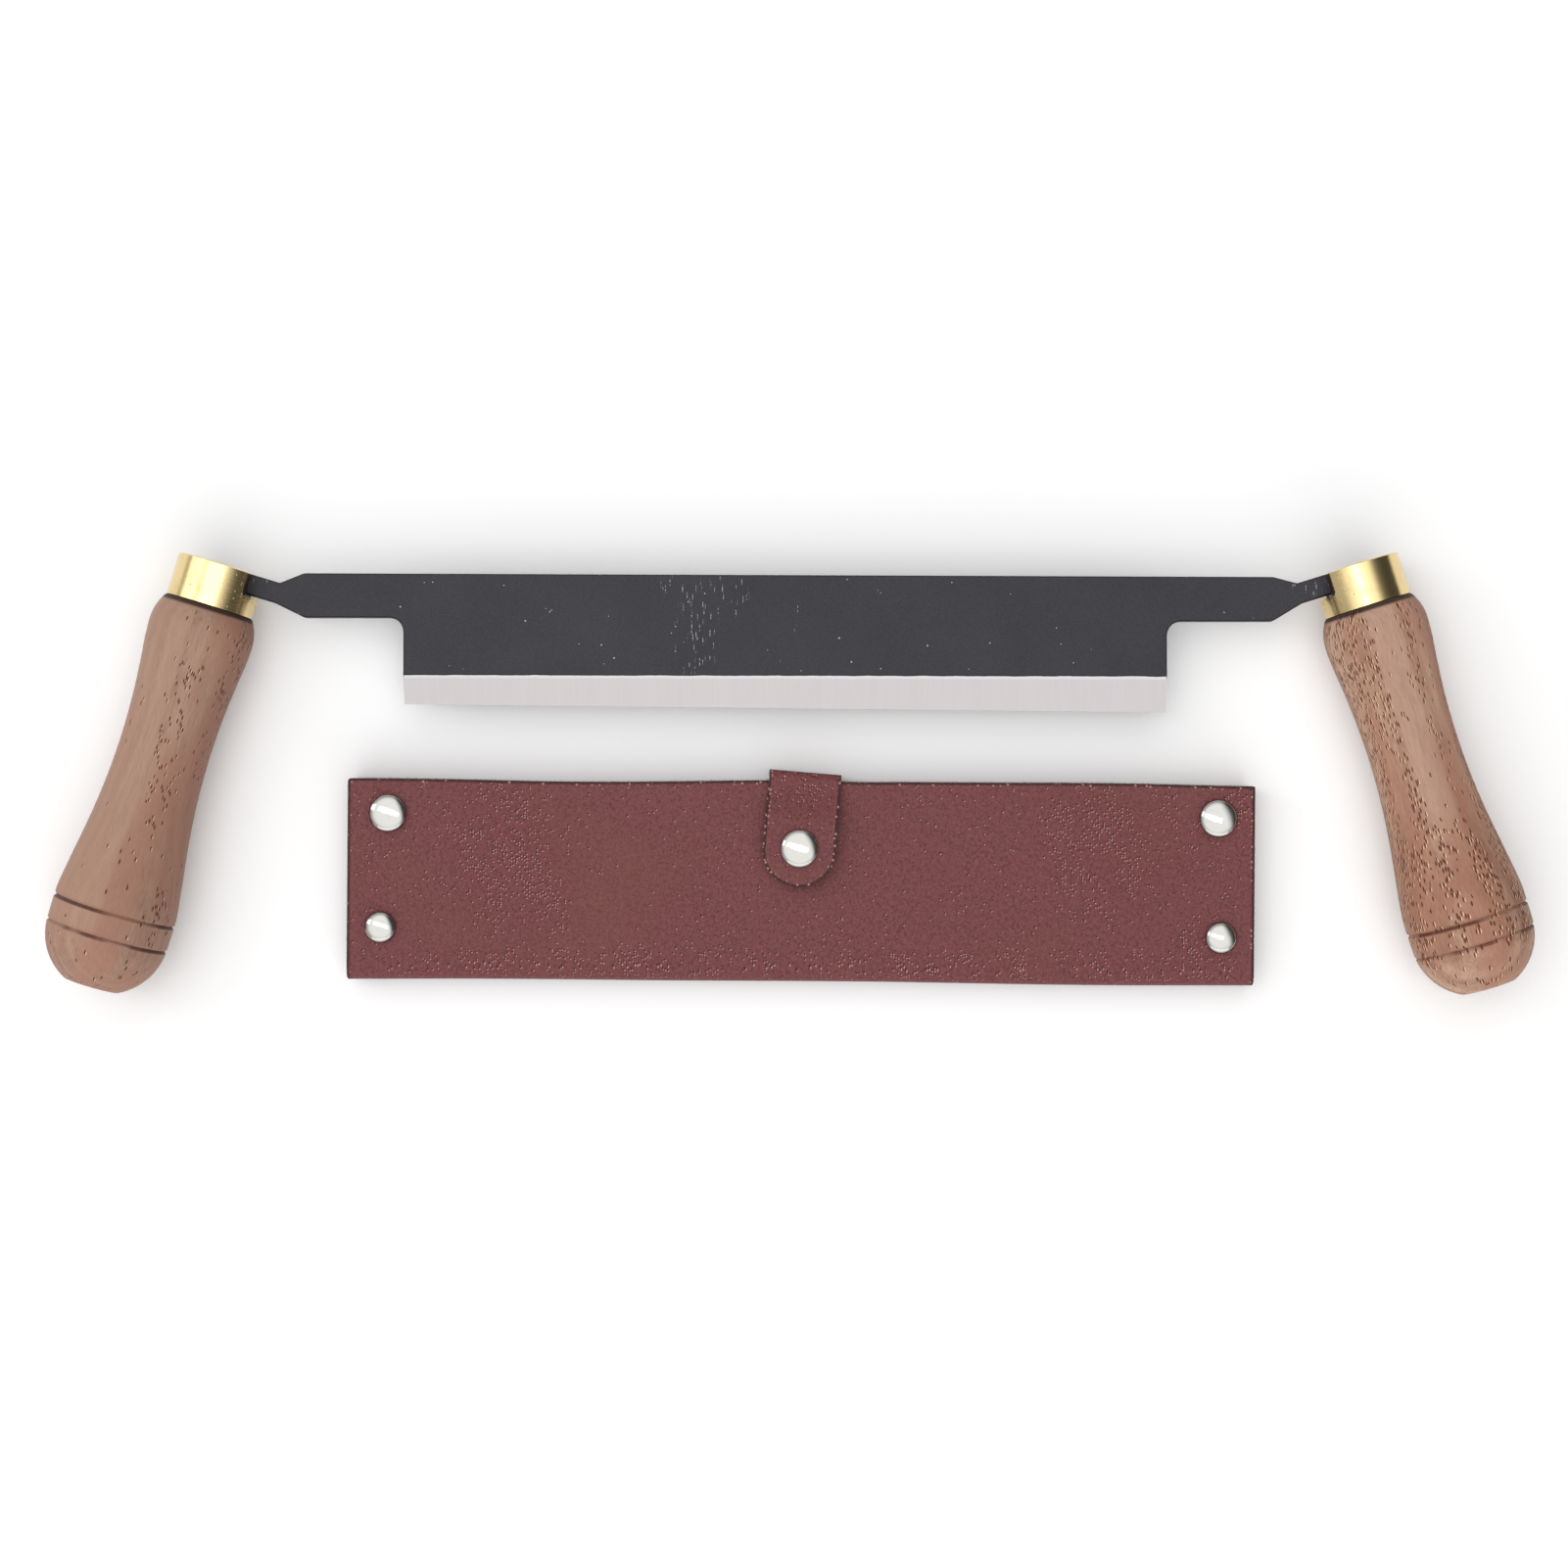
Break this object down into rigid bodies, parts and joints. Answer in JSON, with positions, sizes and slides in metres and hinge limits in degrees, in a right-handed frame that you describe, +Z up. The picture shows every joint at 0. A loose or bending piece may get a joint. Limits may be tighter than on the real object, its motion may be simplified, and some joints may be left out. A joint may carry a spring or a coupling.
{
  "type": "drawknife",
  "caption": "Straight drawknife with turned wooden handles, metal ferrules and a riveted leather blade cover closed by a snap strap.",
  "frame": {"origin": "centre of the bounding box on the table that the knife and its cover lie on", "axes": "+X along the blade, +Y from the pommels towards the blade's back, +Z up from the table"},
  "size_m": [0.3942, 0.1174, 0.0327],
  "materials": {
    "forged_steel": "black forging scale with a ground bevel",
    "brass": "polished, lightly lacquered",
    "walnut": "turned and oiled",
    "resin": "set resin",
    "leather": "vegetable-tanned, red-brown, smooth grain",
    "welt_leather": "vegetable-tanned, cut edge",
    "nickel": "nickel plated",
    "spring_steel": "bright wire"
  },
  "bodies": {
    "knife": {"blade": "forged_steel", "ferrule_left": "brass", "ferrule_right": "brass", "handle_left": "walnut", "handle_right": "walnut", "tang_bed_left": "resin", "tang_bed_right": "resin"},
    "sheath": {"sheath_leather": "leather", "strap_tail": "leather", "welt_left": "welt_leather", "welt_right": "welt_leather", "strap_rivet": "nickel", "snap_stud": "nickel", "snap_post": "nickel", "rivet_cap_upper_left": "nickel", "rivet_cap_upper_right": "nickel", "rivet_cap_lower_left": "nickel", "rivet_cap_lower_right": "nickel", "rivet_post_upper_left": "nickel", "rivet_post_upper_right": "nickel", "rivet_post_lower_left": "nickel", "rivet_post_lower_right": "nickel"},
    "strap_back": {"strap_bridge": "leather"},
    "strap_front": {"strap_flap": "leather", "snap_cap": "nickel", "snap_socket": "nickel", "snap_spring": "spring_steel"}
  },
  "joints": [
    {"name": "sheath_lift", "type": "slide", "parent": "knife", "child": "sheath", "axis": [0, 0, 1], "range_m": [0, 0.05]},
    {"name": "strap_back_bend", "type": "hinge", "parent": "sheath", "child": "strap_back", "pos_m": [0.00452, 0.00013, 0.0012], "axis": [-0.9964, 0.0842, 0], "range_deg": [0, 80]},
    {"name": "strap_front_bend", "type": "hinge", "parent": "strap_back", "child": "strap_front", "pos_m": [0.00452, 0.00013, 0.0127], "axis": [-0.9964, 0.0842, 0], "range_deg": [0, 90]}
  ]
}
